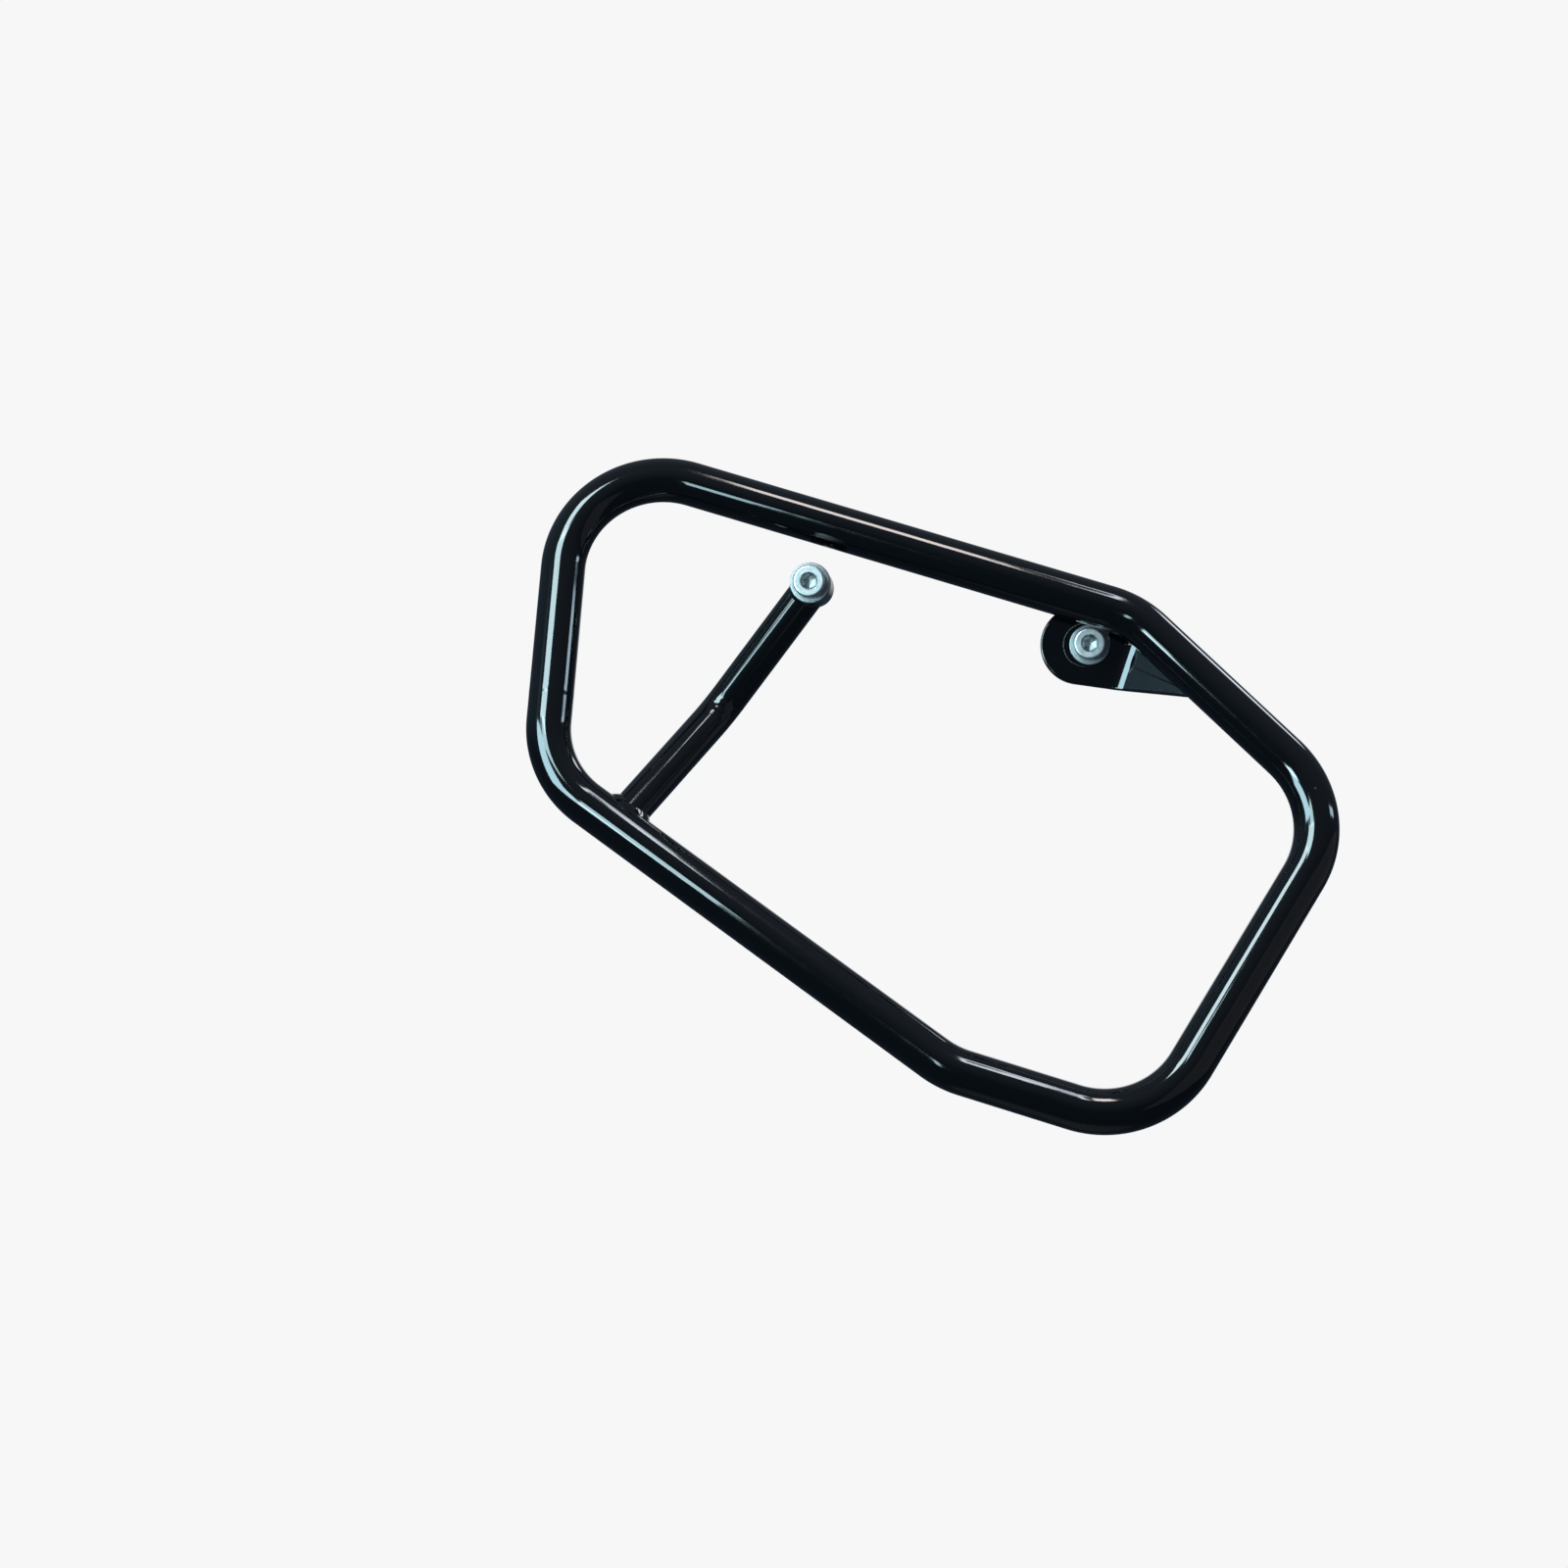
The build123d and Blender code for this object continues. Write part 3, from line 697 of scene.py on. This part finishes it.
washer = {"radius": 8.25, "bore": 4.2, "thick": 1.6, "roll": 0.45, "boreRoll": 0.3, "burr": 0.12,
          "boreBurr": 0.2, "around": 144, "paintedShade": 0.9}


def makeWasher(name, stands, at, seatY):
    # stamped ring: rolled edges on the head's side, small sharp burrs on the other
    front, radius, bore = seatY - washer["thick"], washer["radius"], washer["bore"]
    roll, boreRoll = washer["roll"], washer["boreRoll"]
    profile = np.concatenate((
        ((bore, seatY - washer["boreBurr"]),),
        arcProfile(bore + boreRoll, front + boreRoll, boreRoll, 180, 270, 4),
        arcProfile(radius - roll, front + roll, roll, 270, 360, 7),
        ((radius, seatY - washer["burr"]), (radius - washer["burr"], seatY)),
        ((bore + washer["boreBurr"], seatY),)))
    grid = revolved(profile, washer["around"], (at[0], 0, at[1]))
    piece = makeClosed(name, grid, zinc, stands, sharpAngle=40)
    # the whole washer drawn darker and duller with painted shade
    setPaintedShade(piece, np.full(len(piece.data.vertices), washer["paintedShade"], np.float32))


# x and z of each fixing, y of the seat under its washer, and the screw's length
fixings = {"rear": ((0, 0), -bush["length"], 45.0),
           "front": (bracket["bolt"], bracket["seatDepth"] - bracket["plate"], 25.0)}
for fixing, (at, seatY, length) in fixings.items():
    bearingY = seatY - washer["thick"]
    makeScrew(fixing + "Screw", fixing + "_bolt", at, bearingY, bearingY + length)
    makeWasher(fixing + "Washer", fixing + "_washer", at, seatY)
print("screws and washers made")

# camera, light and floor

# place in metres, turns in degrees, lens and sensor in millimetres
view = {"at": (0.1071, -1.358, -0.1358), "yaw": 5.04, "pitch": 2.336, "lens": 76.5, "sensor": 36.0}

yaw, pitch = np.radians((view["yaw"], view["pitch"]))
ahead = Vector((-np.sin(yaw) * np.cos(pitch), np.cos(yaw) * np.cos(pitch), np.sin(pitch)))
across = Vector((np.cos(yaw), np.sin(yaw), 0))
cameraUp = across.cross(ahead)
cameraData = bpy.data.cameras.new("camera")
cameraData.lens, cameraData.sensor_width = view["lens"], view["sensor"]
camera = bpy.data.objects.new("camera", cameraData)
camera.matrix_world = Matrix((across, cameraUp, -ahead)).transposed().to_4x4()
camera.matrix_world.translation = Vector(view["at"])
scene.collection.objects.link(camera)
scene.camera = camera

middle = Vector((0.045, -0.03, -0.085))         # of the object, in metres
# lit panes round the object, as seen from its middle: distance, side angles (less than 0 is left of the
# camera's side), height angles, lean to the right, radiance and colour
panes = {
    "windowHigh": (1.7, (-44, -20.5), (39, 52), 0, 8.5, (0.72, 0.94, 1.0)),
    "windowMid": (3.4, (-43.5, -13), (28.3, 39), 0, 8.0, (0.68, 0.94, 1.0)),
    "windowFill": (1.7, (-32.2, -15), (20.5, 29), 0, 7.0, (0.62, 0.92, 1.0)),
    "windowBar": (1.7, (-43.5, -32.2), (24, 28.9), 0, 1.5, (0.62, 0.92, 1.0)),
    "windowLow": (1.7, (-58, -32), (-7.5, 24), 0, 8.0, (0.56, 0.88, 1.0)),
    "windowFoot": (1.7, (-33, -26.5), (-8.7, 3.5), 0, 7.5, (0.64, 0.92, 1.0)),
    "windowSill": (0.86, (-29.8, -21.5), (-9.6, 6.2), 40, 6.8, (0.64, 0.92, 1.0)),
    "windowShade": (1.7, (-66, -58), (19, 29), 0, 0.20, (0.42, 0.82, 1.0)),
    "sideGap": (5.0, (-12.95, -10.4), (-11.4, 0.6), 25, 5.8, (0.62, 0.90, 1.0)),
    "rightPanel": (1.7, (79, 98), (16.5, 20.5), 16, 4.5, (0.60, 0.83, 1.0)),
    "rightDim": (1.7, (25, 115), (-24, 8), 0, 0.07, (0.95, 0.92, 1.0)),
    "ceilingSpot": (3.4, (37, 46), (61, 66.5), 0, 6.0, (0.82, 0.90, 1.0)),
    "rearRight": (1.7, (118, 134), (38, 48), 0, 4.0, (0.85, 0.93, 1.0)),
}
# lit panels on the ceiling: both ends from over the middle in metres, width, radiance and colour
strips = {
    "ceilingWarm": ((0.54, -1.22), (0.54, -2.05), 0.40, 7.6, (1.0, 0.91, 0.87)),
    "ceilingCool": ((1.03, -1.42), (0.93, -2.28), 0.14, 8.0, (0.82, 0.90, 1.0)),
}
ceilingHeight = 3.0


def hangLamp(name, at, longWay, width, length, radiance, colour):
    # area lamp that faces the middle; its power is radiance * pi * area
    back = at.normalized()
    upright = (longWay - longWay.dot(back) * back).normalized()
    data = bpy.data.lights.new(name, "AREA")
    data.shape, data.size, data.size_y = "RECTANGLE", width, length
    data.energy, data.color = radiance * np.pi * width * length, colour
    lamp = bpy.data.objects.new(name, data)
    lamp.matrix_world = Matrix((upright.cross(back), upright, back)).transposed().to_4x4()
    lamp.matrix_world.translation = middle + at
    scene.collection.objects.link(lamp)


for lampName, (reach, sides, heights, leanRight, radiance, colour) in panes.items():
    side, height = np.radians(np.mean((sides, heights), axis=1))
    halfWide, halfHigh = np.radians(np.ptp((sides, heights), axis=1)) / 2
    at = reach * Vector((np.sin(side) * np.cos(height), -np.cos(side) * np.cos(height), np.sin(height)))
    tilt = float(np.tan(np.radians(leanRight)))
    hangLamp(lampName, at, Vector((tilt * np.cos(side), tilt * np.sin(side), 1)),
             2 * reach * np.cos(height) * np.tan(halfWide), 2 * reach * np.tan(halfHigh), radiance, colour)
for lampName, (start, end, width, radiance, colour) in strips.items():
    along = Vector(end) - Vector(start)
    centre = (Vector(start) + Vector(end)) / 2
    hangLamp(lampName, Vector((*centre, ceilingHeight)), Vector((*along, 0)), width, along.length, radiance,
             colour)

# colours of the room, and between which parts of a direction's x, y and z they change
room = {"pale": (0.93, 0.93, 0.935, 1), "low": (0.020, 0.030, 0.045, 1), "high": (0.085, 0.105, 0.135, 1),
        "lowAt": 0.0, "highAt": 0.8, "teal": (0.075, 0.125, 0.165, 1), "tealFrom": -0.4, "tealTo": -0.95,
        "tealLow": 0.1, "tealHigh": 0.7, "backdropFrom": 0.86, "backdropTo": 0.95, "skirtFrom": -0.02,
        "skirtTo": 0.3}


def buildWorld():
    # white to the camera; in gloss, white only where the backdrop stands behind and above the object, and a
    # dim room elsewhere, teal to the left
    world = bpy.data.worlds.new("studio")
    scene.world = world
    world.use_nodes = True
    tree = world.node_tree
    direction = nodeIn(tree, "ShaderNodeTexCoord").outputs["Generated"]
    look = nodeIn(tree, "ShaderNodeSeparateXYZ", {0: direction}).outputs

    def ramp(value, start, end):
        limits = {"Value": value, "From Min": start, "From Max": end}
        return nodeIn(tree, "ShaderNodeMapRange", limits).outputs[0]

    def blend(first, second, operation):
        return nodeIn(tree, "ShaderNodeMath", {0: first, 1: second}, operation=operation).outputs[0]

    dim = mixColours(tree, ramp(look["Z"], room["lowAt"], room["highAt"]), room["low"], room["high"])
    leftAbove = blend(ramp(look["X"], room["tealFrom"], room["tealTo"]),
                      ramp(look["Z"], room["tealLow"], room["tealHigh"]), "MULTIPLY")
    dim = mixColours(tree, leftAbove, dim, room["teal"])
    behind = blend(ramp(look["Y"], room["backdropFrom"], room["backdropTo"]),
                   ramp(look["Z"], room["skirtFrom"], room["skirtTo"]), "MULTIPLY")
    path = nodeIn(tree, "ShaderNodeLightPath").outputs
    mirrored = blend(blend(path["Is Glossy Ray"], path["Is Transmission Ray"], "MAXIMUM"), behind, "MULTIPLY")
    white = blend(path["Is Camera Ray"], mirrored, "MAXIMUM")
    tree.links.new(mixColours(tree, white, dim, room["pale"]), tree.nodes["Background"].inputs["Color"])


buildWorld()

# sizes in metres
floorSpec = {"z": -1.2, "radius": 0.55, "fadeFrom": 0.25, "fadeTo": 0.53, "colour": (0.16, 0.145, 0.14, 1),
             "lift": 0.81, "rough": 0.9, "specular": 0.1, "inner": 0.02, "rings": 12, "around": 96}


def buildFloor():
    # pale disc below the object: rings of r, v; it fades out before its edge and keeps the object's shadow
    rings, around = floorSpec["rings"], floorSpec["around"]
    r = np.linspace(floorSpec["radius"], floorSpec["inner"], rings)[:, None]
    v = turns(around)[None, :]
    flat = np.stack((middle.x + r * np.cos(v), middle.y + r * np.sin(v), floorSpec["z"] + 0 * r * v), axis=-1)
    points = np.concatenate((flat.reshape(-1, 3), ((middle.x, middle.y, floorSpec["z"]),)))
    faces = gridFaces(rings, around) + fanFaces((rings - 1) * around, around, rings * around)
    mesh = bpy.data.meshes.new("floor")
    mesh.from_pydata(points.tolist(), [], faces)
    material, tree, bsdf = newMaterial("paleFloor")
    bsdf.inputs["Base Color"].default_value = floorSpec["colour"]
    bsdf.inputs["Roughness"].default_value = floorSpec["rough"]
    bsdf.inputs["Specular IOR Level"].default_value = floorSpec["specular"]
    place = nodeIn(tree, "ShaderNodeMapping", {"Vector": nodeIn(tree, "ShaderNodeTexCoord").outputs["Object"],
                                               "Location": (-middle.x, -middle.y, -floorSpec["z"])})
    far = nodeIn(tree, "ShaderNodeVectorMath", {0: place.outputs[0]}, operation="LENGTH")
    fade = nodeIn(tree, "ShaderNodeMapRange", {"Value": far.outputs["Value"],
                                               "From Min": floorSpec["fadeFrom"],
                                               "From Max": floorSpec["fadeTo"], "To Min": 1.0, "To Max": 0.0},
                  interpolation_type="SMOOTHSTEP")
    tree.links.new(fade.outputs[0], bsdf.inputs["Alpha"])
    lift = nodeIn(tree, "ShaderNodeMath", {0: nodeIn(tree, "ShaderNodeLightPath").outputs["Is Camera Ray"],
                                           1: floorSpec["lift"]}, operation="MULTIPLY")
    bsdf.inputs["Emission Color"].default_value = (1, 1, 1, 1)
    tree.links.new(lift.outputs[0], bsdf.inputs["Emission Strength"])
    mesh.materials.append(material)
    floor = bpy.data.objects.new("floor", mesh)
    scene.collection.objects.link(floor)


buildFloor()
scene.view_settings.view_transform = "Standard"
print("camera, lamps and floor set")
